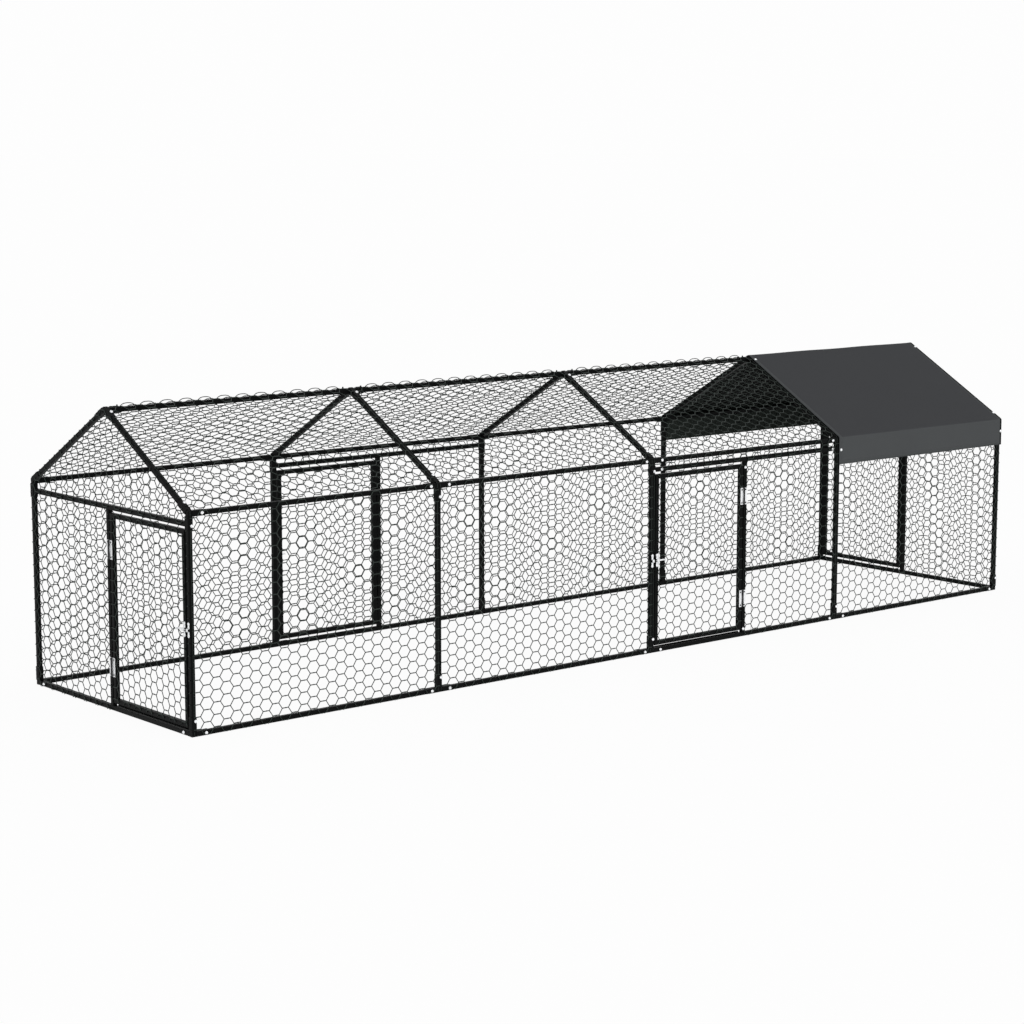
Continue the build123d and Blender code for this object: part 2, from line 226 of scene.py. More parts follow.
def coated_wire(tree, colours):
    """Steel wire with an extruded PVC coat: dark grey-green, semi-gloss, with duller stretches."""
    # The coat's shade changes over a few meshes, about 90 mm.
    _, dull, rough = drift(tree, 90 * MM, 5.0, 0.35, 0.6)
    shades = {"Factor": dull, "A": colours.wire, "B": colours.wire_shade}
    base = add_node(tree, "Mix", shades, data_type="RGBA")
    surface(tree, Base_Color=base, Roughness=rough, Specular_IOR_Level=0.18)


def plated(tree, colours):
    """Nodes of bright zinc plate: its coordinates, its clouded colour, and its other sockets by name."""
    # Clouds about 12 mm across; rolling lines 0.4 mm apart, drawn ten times as long as wide.
    place, cloud, rough = drift(tree, 12 * MM, 4.0, 0.28, 0.42)
    drawn = add_node(tree, "Mapping", {"Vector": place, "Scale": (1, 1, 0.1)})
    lines = add_node(tree, "TexNoise", {"Vector": drawn, "Scale": 1 / (0.4 * MM)})
    shades = {"Factor": cloud, "A": colours.zinc, "B": colours.zinc_shade}
    base = add_node(tree, "Mix", shades, data_type="RGBA")
    bump = add_node(tree, "Bump", {"Height": (lines, "Fac"), "Strength": 0.1, "Distance": 0.05 * MM})
    return place, base, {"Roughness": rough, "Normal": bump, "Metallic": 0.4}


def zinc_plate(tree, colours):
    """Bright zinc plate on pressed steel: pale, faintly clouded, with the sheet's fine rolling lines."""
    _, base, plate = plated(tree, colours)
    surface(tree, Base_Color=base, **plate)


def hinge_with_painted_shade(tree, colours):
    """Zinc plated hinge: bright leaves, and knuckles that stand out of the run's faces, painted dark as
    painted shade of the gap between the leaves.
    """
    place, base, plate = plated(tree, colours)
    apart = add_node(tree, "SeparateXYZ", {"Vector": place})
    stands = []
    for axis, face in (("X", HALF_LENGTH), ("Y", HALF_WIDTH)):
        away = add_node(tree, "Math", {0: (apart, axis)}, operation="ABSOLUTE")
        stands.append(add_node(tree, "Math", {0: away, 1: face}, operation="SUBTRACT"))
    stand = add_node(tree, "Math", dict(enumerate(stands)), operation="MAXIMUM")
    # The leaves are 1.5 mm thick, and all that stands further out is knuckle, which gets the painted shade.
    knuckle_shade_mask = add_node(tree, "MapRange", {"Value": stand, "From Min": 1.6 * MM, "From Max": 2.4 * MM})
    base = add_node(tree, "Mix", {"Factor": knuckle_shade_mask, "A": base, "B": colours.knuckle_painted_shade}, data_type="RGBA")
    surface(tree, Base_Color=base, **plate)


def black_oxide(tree, colours):
    """Blackened steel screw heads: dark, with a little wear that shines on their rims."""
    # Wear comes in spots about 1 mm across.
    _, _, rough = drift(tree, 1 * MM, 3.0, 0.3, 0.6)
    surface(tree, Base_Color=colours.screw, Roughness=rough, Metallic=0.6)


def coated_cloth(tree, colours, hem_width, width, girth, skirt):
    """Woven polyester coated for rain: matt charcoal with a plain weave, skirts painted paler as painted
    light from the front, and a double hem.

    The edge at the run's end is bound in black. The piece's UV map is in metres along and across the cloth.
    A thread is 0.5 mm wide, too fine to show, so the weave is drawn 4 mm wide."""
    uv = (add_node(tree, "UVMap", uv_map="cloth"), "UV")
    apart = add_node(tree, "SeparateXYZ", {"Vector": uv})
    thread, binding, fold, stitch = 4 * MM, 10 * MM, 2 * MM, 1.5 * MM
    # A wave's bands are pi / 10 over its scale apart; the cloth fades over about 250 mm.
    bands = {"Vector": uv, "Scale": np.pi / 10 / thread}
    warp, weft = (add_node(tree, "TexWave", bands, bands_direction=axis) for axis in "XY")
    weave = add_node(tree, "Math", {0: (warp, "Fac"), 1: (weft, "Fac")}, operation="MULTIPLY")
    cloud = add_node(tree, "TexNoise", {"Vector": uv, "Scale": 1 / (250 * MM), "Detail": 6.0})
    shade = add_node(tree, "Math", {0: weave, 1: (cloud, "Fac")}, operation="MULTIPLY")
    edges = []
    for axis, far in (("X", width), ("Y", girth)):
        back = add_node(tree, "Math", {0: far, 1: (apart, axis)}, operation="SUBTRACT")
        edges.append(add_node(tree, "Math", {0: (apart, axis), 1: back}, operation="MINIMUM"))
    edge = add_node(tree, "Math", dict(enumerate(edges)), operation="MINIMUM")
    # The skirts' mask, hung, takes them to the paler colour of painted light; hem and bound mark the hem and
    # the binding.
    places = ((edges[1], skirt + fold, skirt - fold), (edge, hem_width, hem_width - stitch),
              ((apart, "X"), width - binding, width - binding + 1 * MM))
    hung, hem, bound = (add_node(tree, "MapRange", {"Value": value, "From Min": off, "From Max": full})
                        for value, off, full in places)
    # Each colour lies over the ones before it; the paler skirt colour is painted light.
    base = colours.cover
    for factor, over in ((hung, colours.skirt), (shade, colours.cover_shade), (hem, colours.hem),
                         (bound, colours.lining)):
        base = add_node(tree, "Mix", {"Factor": factor, "A": base, "B": over}, data_type="RGBA")
    bump = add_node(tree, "Bump", {"Height": weave, "Strength": 0.25, "Distance": 0.3 * MM})
    surface(tree, Base_Color=base, Normal=bump, Roughness=0.8, Specular_IOR_Level=0.06)


def lining_with_painted_light(tree, colours):
    """Black rubbery coat under the cover: matt, blotched as it was spread, and painted paler inside the
    skirts as painted light.
    """
    # Blotches of the spread coat are about 60 mm across; below the eave it is painted paler, as painted
    # light.
    place, _, rough = drift(tree, 60 * MM, 4.0, 0.6, 0.9)
    height = (add_node(tree, "SeparateXYZ", {"Vector": place}), "Z")
    fade = 4 * MM
    painted_light_mask = add_node(tree, "MapRange", {"Value": height, "From Min": EAVE + fade, "From Max": EAVE - fade})
    shades = {"Factor": painted_light_mask, "A": colours.lining, "B": colours.lining_painted_light}
    base = add_node(tree, "Mix", shades, data_type="RGBA")
    surface(tree, Base_Color=base, Roughness=rough, Specular_IOR_Level=0.04)


def in_view(tree):
    """1 for rays from the camera, in reflections and through clear things, and 0 for light on the run."""
    rays = add_node(tree, "LightPath")
    seen = add_node(tree, "Math", {0: (rays, "Is Camera Ray"), 1: (rays, "Is Glossy Ray")}, operation="ADD")
    clear = {0: seen, 1: (rays, "Is Transmission Ray")}
    return add_node(tree, "Math", clear, operation="ADD", use_clamp=True)


def studio_floor(tree, colours):
    """Matt pale floor that shows white to the camera and in reflections, and still takes a soft shadow."""
    share = add_node(tree, "Math", {0: in_view(tree), 1: 0.93}, operation="MULTIPLY")
    matt = add_node(tree, "BsdfDiffuse", {"Color": colours.floor})
    glow = add_node(tree, "Emission", {"Color": (1, 1, 1, 1), "Strength": 1.0})
    both = add_node(tree, "MixShader", {0: share, 1: matt, 2: glow})
    add_node(tree, "OutputMaterial", {"Surface": both})


def finish(make, *args):
    """The material that a function makes the nodes of, under its name, made when it is first asked for."""
    material = bpy.data.materials.get(make.__name__)
    if material is None:
        material = bpy.data.materials.new(make.__name__)
        material.use_nodes = True
        material.node_tree.nodes.clear()
        make(material.node_tree, bpy.context.scene.run_colours, *args)
    return material


def paint(thing, material):
    """Gives a CAD node one material."""
    thing.data.materials.clear()
    thing.data.materials.append(material)


def add_piece(name, shape, material, body, smooth=True):
    """Puts a shape, vertex rows with sets of face rows, into a new object that rides on a body."""
    points, faces = shape
    mesh = bpy.data.meshes.new(name)
    corners = np.hstack([rows.ravel() for rows in faces]).astype(np.int32)
    sides = np.hstack([np.full(len(rows), rows.shape[1]) for rows in faces])
    mesh.vertices.add(len(points))
    mesh.vertices.foreach_set("co", np.asarray(points, np.float32).ravel())
    mesh.loops.add(len(corners))
    mesh.loops.foreach_set("vertex_index", corners)
    mesh.polygons.add(len(sides))
    mesh.polygons.foreach_set("loop_start", (np.cumsum(sides) - sides).astype(np.int32))
    mesh.polygons.foreach_set("use_smooth", np.full(len(sides), smooth))
    mesh.update(calc_edges=True)
    mesh.validate()
    mesh.materials.append(material)
    piece = bpy.data.objects.new(name, mesh)
    bpy.context.scene.collection.objects.link(piece)
    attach(piece, body)
    return piece


def laid(face, shape):
    """Carries a shape given along, up and out of a face of the run into the row frame."""
    points, faces = shape
    return points @ FACES[face][1:] + FACES[face][0], faces


def box_on(face, node):
    """A CAD node's lowest and highest corner along, up and out of a face."""
    corners = np.array([list(corner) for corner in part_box(node)]) - FACES[face][0]
    return np.sort(corners @ FACES[face][1:].T, axis=0)


def unit(ways):
    """Ways with a length of 1."""
    return ways / np.linalg.norm(ways, axis=-1, keepdims=True)


def joined(shapes):
    """Several shapes as one."""
    shifts = np.cumsum([0] + [len(points) for points, _ in shapes])
    faces = [rows + shift for (_, sets), shift in zip(shapes, shifts) for rows in sets]
    return np.vstack([points for points, _ in shapes]), faces


def skinned(rings, free=True):
    """Closed skins over rows of rings, where two neighbours are free: quads between them, and end caps."""
    rows, steps, sides = rings.shape[:3]
    free = np.broadcast_to(free, (rows, steps))
    kept = free[:, 1:] & free[:, :-1]
    index = np.arange(rows * steps * sides).reshape(rows, steps, sides)
    here, there = index[:, :-1], index[:, 1:]
    walls = np.stack([here, np.roll(here, -1, 2), np.roll(there, -1, 2), there], axis=-1)[kept]
    change = np.diff(np.pad(kept, ((0, 0), (1, 1))).astype(int))
    starts, ends = here[change[:, :-1] > 0][:, ::-1], there[change[:, 1:] < 0]
    corners = np.hstack([walls.ravel(), starts.ravel(), ends.ravel()])
    used, places = np.unique(corners, return_inverse=True)
    split = np.split(places.ravel(), np.cumsum([walls.size, starts.size]))
    return rings.reshape(-1, 3)[used], [part.reshape(-1, k) for part, k in zip(split, (4, sides, sides))]


def wire_tubes(path, radius, free=True):
    """Wires along the free points of paths: each carries a triangle, p + r (cos a, sin a), square to it."""
    along = unit(np.gradient(path, axis=-2))
    across = unit(np.cross((0.0, 0.0, 1.0), along))
    turn = 2 * np.pi * np.arange(3)[:, None] / 3
    ring = np.cos(turn) * across[..., None, :] + np.sin(turn) * np.cross(along, across)[..., None, :]
    return skinned(path[..., None, :] + radius * ring, free)


def chamfered(half_width, half_depth, bevel):
    """Rings of eight points round rectangles with cut corners: each point's place across, and its depth."""
    inset = np.array([0, 0, 1, 1, 0, 0, 1, 1]) * bevel
    across = np.array([-1, -1, -1, 1, 1, 1, 1, -1]) * (half_width - inset)
    return across, np.array([-1, 1, 1, 1, 1, -1, -1, -1]) * (half_depth - bevel + inset)


def flat_bar(s, t, n, bevel):
    """A flat bar on a face, between two places each along, up and out of it: a rectangle with corners cut by
    the bevel is carried along s, and drawn in by the bevel at both ends."""
    (s_low, s_high), (t_low, t_high), (n_low, n_high) = s, t, n
    along = np.array([s_low, s_low + bevel, s_high - bevel, s_high])[:, None]
    shrink = np.array([bevel, 0, 0, bevel])[:, None]
    across, depth = chamfered((t_high - t_low) / 2 - shrink, (n_high - n_low) / 2 - shrink, bevel)
    rings = np.broadcast_arrays(along, (t_low + t_high) / 2 + across, (n_low + n_high) / 2 - depth)
    return skinned(np.stack(rings, axis=-1)[None])


def rectangle(s_low, t_low, s_high, t_high):
    """Corners of an upright rectangle, anticlockwise."""
    return [(s_low, t_low), (s_high, t_low), (s_high, t_high), (s_low, t_high)]


def inside(outlines, s, t):
    """True where a point lies in one of the convex outlines, left of every edge taken anticlockwise."""
    found = np.zeros(s.shape, bool)
    for outline in outlines:
        start = np.array(outline, float)[:, :, None, None]
        edge = np.roll(start, -1, axis=0) - start
        left = edge[:, 0] * (t - start[:, 1]) - edge[:, 1] * (s - start[:, 0])
        found |= (left >= 0).all(axis=0)
    return found


def hexagon_netting(sizes, outlines, clear, foot, start, column):
    """Wires of hexagonal netting inside outlines on a face and outside clear ones, with its lowest twists at
    height foot, one of them at start, and its columns so far apart.

    Wire i runs along s at t = foot + (2 i + 1) h/4 + p (h/4 - q cos(2 pi u)), n = r + q + p q sin(2 pi u).
    p is +1 or -1 by turns from column to column and from wire to wire, u goes from 0 to 1 along a twist, h is
    the mesh height, r the wire's radius and q the twist's, a little less as the coat fuses the strands. Two
    neighbours meet in a twist of one full turn, and part along slants that have one more point halfway."""
    radius, pressed = sizes.wire_diameter / 2, 0.16 * sizes.wire_diameter
    height, twist_steps = sizes.mesh_height, 5
    edges = np.vstack(outlines)
    (s_low, t_low), (s_high, t_high) = edges.min(0), edges.max(0)
    columns = np.arange(np.floor((s_low - start) / column), np.ceil((s_high - start) / column) + 1)
    wires = np.arange(np.ceil(2 * (t_high - foot) / height))
    u = np.linspace(0, 1, twist_steps + 1)
    turn = 2 * np.pi * u
    parity = 1 - 2 * ((wires[:, None] + columns + 1) % 2)[:, :, None]
    rise = np.append(height / 4 - pressed * np.cos(turn), 0)
    reach = np.append((u - 0.5) * sizes.twist_length, column / 2)
    t = foot + (2 * wires[:, None, None] + 1) * height / 4 + parity * rise
    n = radius + pressed + parity * np.append(pressed * np.sin(turn), 0)
    t, n = t.reshape(len(wires), -1), n.reshape(len(wires), -1)
    s = np.broadcast_to((start + columns[:, None] * column + reach).ravel(), t.shape)
    within = inside(outlines, s, t) & ~inside(clear, s, t)
    # Slack of the roll: away from its edges, each mesh is pulled out of true in waves of 0.2 to 0.5 m.
    room = np.minimum(np.minimum(s - s_low, s_high - s), np.minimum(t - t_low, t_high - t))
    slack = sizes.mesh_slack * np.clip(room / height, 0, 1)
    pull_s = slack * (np.sin(17.3 * s + 9.1 * t + 0.7) + np.sin(31.1 * t - 12.7 * s))
    pull_t = slack * (np.sin(14.9 * s - 21.3 * t + 2.1) + np.sin(27.7 * s + 11.3 * t))
    path = np.stack([s + pull_s, t + pull_t, n], axis=-1)
    return wire_tubes(path, radius, within)


def cut_ends(sizes, outlines, foot, start):
    """Cut wire ends that stick out of the lowest twists: each bends out and down over about 6 mm."""
    edges = np.vstack(outlines)[:, 0]
    pair = 2 * sizes.mesh_column
    first, last = np.floor((edges.min() - start) / pair), np.ceil((edges.max() - start) / pair)
    s = start + pair * np.arange(first, last + 1)
    s = np.hstack([s - 0.3 * sizes.twist_length, s + 0.2 * sizes.twist_length])
    s = s[inside(outlines, s[None], np.full((1, len(s)), foot + 1 * MM))[0]]
    sway = np.random.default_rng(5).uniform(-1, 1, (len(s), 1)) * np.array([0, 1, 2.5, 4]) * MM
    t = foot + np.array([2, 1.2, 0.2, -0.8]) * MM
    n = sizes.wire_diameter * 0.8 + np.array([0, 1.5, 3.6, 6]) * MM
    path = np.stack(np.broadcast_arrays(s[:, None] + sway, t, n), axis=-1)
    return wire_tubes(path, 0.4 * sizes.wire_diameter)


def upright_wires(sizes, s, t_low, t_high, clear=()):
    """Straight selvedge wires up a face at each s, with gaps where they meet one of the clear outlines."""
    s, t = np.meshgrid(s, np.linspace(t_low, t_high, 101), indexing="ij")
    radius = sizes.selvedge_diameter / 2
    path = np.stack([s, t, np.full(t.shape, radius)], axis=-1)
    return wire_tubes(path, radius, ~inside(clear, s, t))


def ridge_arches(sizes, s_start, s_end, first):
    """The front roof's top strand from s_start to s_end, a row of low arches over the ridge rail.

    Its height is H (1 - |q| q q) where that is above nought, and q goes from -1 to 1 across an arch; the
    arches are two columns of the net apart, with the middle of one at first."""
    radius, period = sizes.wire_diameter / 2, 2 * sizes.mesh_column
    s = np.arange(s_start, s_end, period / 18)
    q = ((s - first + period / 2) % period - period / 2) / (sizes.arch_width / 2)
    z = RIDGE_RAIL_TOP + radius + sizes.arch_height * np.clip(1 - np.abs(q) ** 3, 0, 1)
    roof = FACES["front_roof"]
    path = (np.stack([s, 0 * s, z], axis=-1) - roof[0]) @ roof[1:].T
    return wire_tubes(path[None], radius)


def fittings(door):
    """Outlines on a door's face of its latch, the bolt's way and its hinge leaves, all on bare tubes."""
    found = []
    for piece in ("latch_strap", "latch_keeper", "hinge_leaves", "jamb_leaves"):
        box = box_on(DOOR_FACE[door], f"{door}_{piece}")[:, :2]
        (s_low, t_low), (s_high, t_high) = box + [[-FITTING_ROOM], [FITTING_ROOM]]
        tall = min(t_high - t_low, LEAF_HEIGHT + 2 * FITTING_ROOM)
        found.append(rectangle(s_low, t_low, s_high, t_low + tall))
        found.append(rectangle(s_low, t_high - tall, s_high, t_high))
    latch_s, latch_t = np.moveaxis(np.array(found[:4]), -1, 0)
    middle = latch_t.mean()
    return found + [rectangle(latch_s.min(), middle - BOLT_WAY, latch_s.max(), middle + BOLT_WAY)]


def bay_spans():
    """Each bay's line, and where its net starts and ends: on the hoops' middles, inside the end ones."""
    lines = np.clip(BAY_LINES, NET_MARGIN - HALF_LENGTH, HALF_LENGTH - NET_MARGIN)
    return list(zip(BAY_LINES[:-1], lines[:-1], lines[1:]))


def round_door(door, s_start, s_end, high):
    """Outlines of the fixed net from s_start to s_end: all of it, or what is left round a doorway in it, from
    the latch post to the jamb and over the header."""
    s_low, s_high = box_on(DOOR_FACE[door], f"{door}_frame")[:, 0]
    if not s_start < s_low < s_end:
        return [rectangle(s_start, 0, s_end, high)]
    before, after = s_low - DOORWAY_GAP, s_high + DOORWAY_GAP
    return [rectangle(s_start, 0, before, high), rectangle(after, 0, s_end, high),
            rectangle(before, HEADER_LOW.z + NET_MARGIN, after, high)]


class RUN_OT_netting(bpy.types.Operator):
    """Weaves the wire netting of the walls, ends, roof and doors"""

    bl_idname = "run.netting"
    bl_label = "Wire netting"

    def weave(self, node, face, body, parts):
        """Puts the wires of one face or door into a piece that stands for its CAD netting."""
        name, wires = node.replace("netting", "wires"), laid(face, joined(parts))
        piece = add_piece(name, wires, finish(coated_wire), body)
        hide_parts(node)

    def sides(self, sizes):
        """Weaves the walls and ends round their doorways, and the doors."""
        margin, high, inset = NET_MARGIN, EAVE - NET_MARGIN, sizes.selvedge_inset
        # A door's lowest twists are below its edge; one more selvedge wire stands beside the front jamb.
        below, beside = 4 * MM, 52.5 * MM
        for door, face in DOOR_FACE.items():
            spans, at_end = bay_spans(), face.endswith("end")
            start, hang, column = sizes.mesh_start, sizes.door_start, sizes.mesh_column
            if at_end:
                spans = [(-HALF_WIDTH, margin - HALF_WIDTH, HALF_WIDTH - margin)]
                start, hang, column = sizes.end_start, sizes.end_door_start, sizes.end_door_column
            clear, parts = fittings(door), []
            for bay, s_start, s_end in spans:
                outlines = round_door(door, s_start, s_end, high)
                if at_end:
                    outlines.append([(s_start, high), (s_end, high), (0, high + s_end * np.tan(PITCH))])
                net = hexagon_netting(sizes, outlines, clear, NET_FOOT, bay + start, sizes.mesh_column)
                parts += [net, cut_ends(sizes, outlines, NET_FOOT, bay + start)]
                if not at_end:
                    edges = [s_start + inset, s_end - inset]
                    parts.append(upright_wires(sizes, edges, NET_FOOT, high, clear))
            (s_low, t_low, _), (s_high, t_high, _) = box_on(face, f"{door}_frame")
            leaf = rectangle(s_low + margin, t_low + margin, s_high - margin, t_high - margin)
            hung = hexagon_netting(sizes, [leaf], clear, t_low - below, s_low + hang, column)
            self.weave(f"{door}_netting", face, door, [hung])
            if face == "front_wall":
                parts.append(upright_wires(sizes, [s_high + beside], TUBE / 2, HEADER_LOW.z + TUBE / 2))
            self.weave(f"{face}_netting", face, "frame", parts)

    def execute(self, context):
        sizes = context.scene.run_sizes
        self.sides(sizes)
        # The roof's twists are set out from 12 mm over the ridge, and its nets end 4 mm short of it.
        inset, hoop, top = sizes.selvedge_inset, 45 * MM, SLOPE_LENGTH - 4 * MM
        foot = (SLOPE_LENGTH + 12 * MM) % (sizes.mesh_height / 2)
        for face in ROOFS:
            parts = []
            for bay, s_start, s_end in bay_spans():
                outlines, start = [rectangle(s_start, 0, s_end, top)], bay + sizes.mesh_start
                parts.append(hexagon_netting(sizes, outlines, [], foot, start, sizes.mesh_column))
                edges = [s_start + inset, s_end - inset]
                parts.append(upright_wires(sizes, edges, NET_FOOT, top - TUBE / 2))
                # Between the hoops the front's top strand arches over the open ridge.
                if face == "front_roof" and s_end < COVER_START + TUBE:
                    parts.append(ridge_arches(sizes, s_start + hoop, s_end - hoop, bay + sizes.arch_start))
            self.weave(f"{face}_netting", face, "frame", parts)
        return {"FINISHED"}


def cross_head(diameter, height, spokes=16):
    """Rings of a pan head with a cross recess, from its rim inwards.

    A profile of radius and height is turned about z; the recess drops the fifth ring at half the spokes."""
    profile = np.array([(1.0, 0.0), (1.0, 0.3), (0.8, 0.82), (0.56, 1.0), (0.48, 1.02), (0.1, 0.62)])
    profile = np.repeat(profile[:, None], spokes, axis=1)
    profile[4, (np.arange(spokes) + 1) % (spokes // 4) < 2, 1] = 0.62
    radius, z = np.moveaxis(profile * (diameter / 2, height), -1, 0)
    angle = 2 * np.pi * (np.arange(spokes) + 0.5) / spokes
    return np.stack([radius * np.cos(angle), radius * np.sin(angle), z], axis=-1)


def row_on(face, s, t, n):
    """Rows of a place on a face and its way out, for each s along the face, height t and stand-off n."""
    spots = np.stack(np.broadcast_arrays(s, t, n), axis=-1).reshape(-1, 3)
    places, _ = laid(face, (spots, None))
    return np.hstack([places, np.tile(FACES[face][3], (len(spots), 1))])


def add_heads(name, rows, diameter, height, seed, material, body):
    """A piece of cross heads on rows of a place and its way out, each turned by a seeded random angle."""
    places, outs = rows[:, :3], rows[:, 3:]
    side = unit(np.cross(outs, (0.31, 0.27, 0.91)))
    other = np.cross(outs, side)
    angle = np.random.default_rng(seed).uniform(0, np.pi / 2, len(places))[:, None]
    turned = side * np.cos(angle) + other * np.sin(angle)
    square = other * np.cos(angle) - side * np.sin(angle)
    ways = np.stack([turned, square, outs], axis=1)
    rings = np.einsum("rsk,nkc->nrsc", cross_head(diameter, height), ways) + places[:, None, None]
    points, (walls, *caps) = skinned(rings)
    # A quad is split from its first corner, which here is one on the inner ring.
    shape = points, [np.roll(walls, 1, axis=1), *caps]
    add_piece(name, shape, material, body)


def hinge_edge(door):
    """Where a door's hinged edge lies along its face, and the way from the door to the jamb."""
    face = DOOR_FACE[door]
    middle = box_on(face, f"{door}_jamb_leaves")[:, 0].mean()
    s_low, s_high = box_on(face, f"{door}_frame")[:, 0]
    return (s_high, 1) if abs(middle - s_high) < abs(middle - s_low) else (s_low, -1)


class RUN_OT_frame_bolts(bpy.types.Operator):
    """Sets the bright bolts of the tubes and of the cover, and the dark studs on the ridge"""

    bl_idname = "run.frame_bolts"
    bl_label = "Frame bolts"

    def execute(self, context):
        sizes = context.scene.run_sizes
        half, proud = TUBE / 2, sizes.sleeve_wall
        # Past a hoop, short of the next one, beside a hoop's middle, and inside the cover's edge
        after, before, aside, cover_edge = 44 * MM, 34 * MM, 5 * MM, 11 * MM
        # Heights on posts, the cover's skirt, the jamb past a door's edge, and rafters
        post_foot, post_head, skirt = 51 * MM, 678 * MM, 677 * MM
        jamb_heights, past_edge = np.array([29, 653]) * MM, 10 * MM
        rafter_foot, rafter_head = 44 * MM, SLOPE_LENGTH - 33 * MM
        rail_x = np.hstack([HOOPS[:-1] + after, HOOPS[1:] - before])
        bare_x = rail_x[rail_x < COVER_START]
        open_x, held_x = HOOPS[:-2], np.array([COVER_START + cover_edge, HOOPS[-1] + aside])
        lift = sizes.cover_lift + sizes.cover_thickness
        rows, nuts = [], []
        for door, face in DOOR_FACE.items():
            if face.endswith("end"):
                rows.append(row_on(face, np.array([-1, 1]) * (HALF_WIDTH - TUBE - before), half, 0.0))
                continue
            way = FACES[face][1, 0]
            edge, away = hinge_edge(door)
            header = box_on(face, face.replace("wall", "header"))[:, 0]
            spots = ((rail_x * way, half, proud), (bare_x * way, EAVE - half, proud),
                     (HOOPS * way + aside, post_foot, proud), (open_x * way + aside, post_head, proud),
                     (edge + away * past_edge, jamb_heights, 0.0),
                     (header + (after - half, half - before), HEADER_LOW.z + half, 0.0),
                     (held_x * way, skirt, lift))
            rows += [row_on(face, *spot) for spot in spots]
            # A nut faces inwards under each bolt of the skirt.
            nuts.append(row_on(face, held_x * way, skirt, sizes.cover_lift) * (1, 1, 1, -1, -1, -1))
        for face in ROOFS:
            way = FACES[face][1, 0]
            for t, held in ((rafter_foot, held_x[1:]), (rafter_head, held_x)):
                rows += [row_on(face, open_x * way + aside, t, proud), row_on(face, held * way, t, lift)]
        bolts = np.vstack(rows + nuts)
        add_heads("frame_bolts", bolts, sizes.bolt_head, sizes.bolt_height, 3, finish(zinc_plate), "frame")
        studs = np.array([(x, 0, RIDGE_RAIL_TOP + proud, 0, 0, 1) for x in bare_x])
        add_heads("ridge_studs", studs, sizes.stud, sizes.stud_height, 4, finish(black_oxide), "frame")
        return {"FINISHED"}


class RUN_OT_hinges(bpy.types.Operator):
    """Finishes the hinges and sets their screws"""

    bl_idname = "run.hinges"
    bl_label = "Hinges"

    def screws(self, door, piece):
        """Rows of the two screws in each of a door's hinge leaves: mid-leaf, near its top and bottom."""
        apart = 25 * MM
        low, high = box_on(DOOR_FACE[door], f"{door}_{piece}")[:, 1]
        edge, away = hinge_edge(door)
        heights = np.add.outer((low + LEAF_HEIGHT / 2, high - LEAF_HEIGHT / 2), (-apart, apart))
        return row_on(DOOR_FACE[door], edge + away * LEAF_MIDDLE[piece], heights, LEAF_SHEET)

    def execute(self, context):
        sizes = context.scene.run_sizes
        dark = finish(black_oxide)
        for node, thing in frame["nodes"].items():
            if node.endswith("_leaves") or node == "hinge_pins":
                paint(thing, finish(hinge_with_painted_shade))
        for number, door in enumerate(DOORS):
            for piece, body in (("hinge_leaves", door), ("jamb_leaves", "frame")):
                add_heads(f"{door}_{piece}_screws", self.screws(door, piece), sizes.screw_head,
                          sizes.screw_height, 11 + number, dark, body)
        return {"FINISHED"}


def lobed_strap(sizes, tall, deep):
    """A pressed latch strap, with points across, up and out of its face.

    At height t its middle line lies at n = d/2 + (deep - d) S, where S steps smoothly from 0 at hump_high
    from the middle to 1 at hump_low; it narrows from round ends to a waist and widens over the bolt. A ring
    with chamfered corners, of that width and d thick, is carried along the line."""
    thick, wide = sizes.strap_thickness, sizes.strap_width
    waist, bridge = sizes.strap_waist, sizes.strap_bridge
    hump_low, hump_high, bevel = 3.6 * MM, 6.4 * MM, 0.35 * MM
    end = wide / 2
    round_at = tall / 2 - end
    step = (1 - np.cos(np.linspace(0, np.pi, 13))) / 2
    side = np.hstack([np.linspace(0, hump_low, 4)[:-1], hump_low + (hump_high - hump_low) * step,
                      np.linspace(hump_high, round_at, 8)[1:],
                      round_at + end * np.sin(np.linspace(0, np.pi / 2, 9))[1:]])
    t = np.hstack([-side[:0:-1], side])
    away = np.abs(t)
    x = np.clip((hump_high - away) / (hump_high - hump_low), 0, 1)
    n = thick / 2 + (deep - thick) * x * x * (3 - 2 * x)
    part = np.clip((away - hump_high) / (round_at - hump_high), 0, 1)
    width = waist + (np.where(part < 0.5, bridge, wide) - waist) * np.cos(np.pi * part) ** 2
    # The round end is a half circle, cut off where it is 6% of its full width.
    cap = np.sqrt(np.clip(end ** 2 - np.clip(away - round_at, 0, end) ** 2, (0.06 * end) ** 2, None)) * 2
    width = np.where(away > round_at, cap, width)
    along = unit(np.stack([np.gradient(t), np.gradient(n)], axis=-1))
    across, depth = chamfered(width[:, None] / 2, thick / 2, bevel)
    rings = np.stack([across, t[:, None] - along[:, 1:] * depth, n[:, None] + along[:, :1] * depth], axis=-1)
    return skinned(rings[None])


class RUN_OT_latches(bpy.types.Operator):
    """Presses the latch straps, sets their screws and finishes the slide bolts"""

    bl_idname = "run.latches"
    bl_label = "Latches"

    def execute(self, context):
        sizes = context.scene.run_sizes
        zinc = finish(zinc_plate)
        for number, door in enumerate(DOORS):
            paint(frame["nodes"][f"{door}_slide_bolt"], zinc)
            face = DOOR_FACE[door]
            for piece, body in (("latch_strap", door), ("latch_keeper", "frame")):
                node = f"{door}_{piece}"
                low, high = box_on(face, node)
                centre = (low + high) / 2 * (1, 1, 0)
                _, tall, deep = high - low
                points, faces = lobed_strap(sizes, tall, deep)
                pressed = laid(face, (points + centre, faces))
                strap = add_piece(f"{node}_pressed", pressed, zinc, body)
                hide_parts(node)
                lobe = (tall - sizes.strap_width) / 2
                rows = row_on(face, centre[0], centre[1] + np.array([-lobe, lobe]), sizes.strap_thickness)
                add_heads(f"{node}_screws", rows, sizes.screw_head, sizes.screw_height, 31 + number, zinc,
                          body)
        return {"FINISHED"}


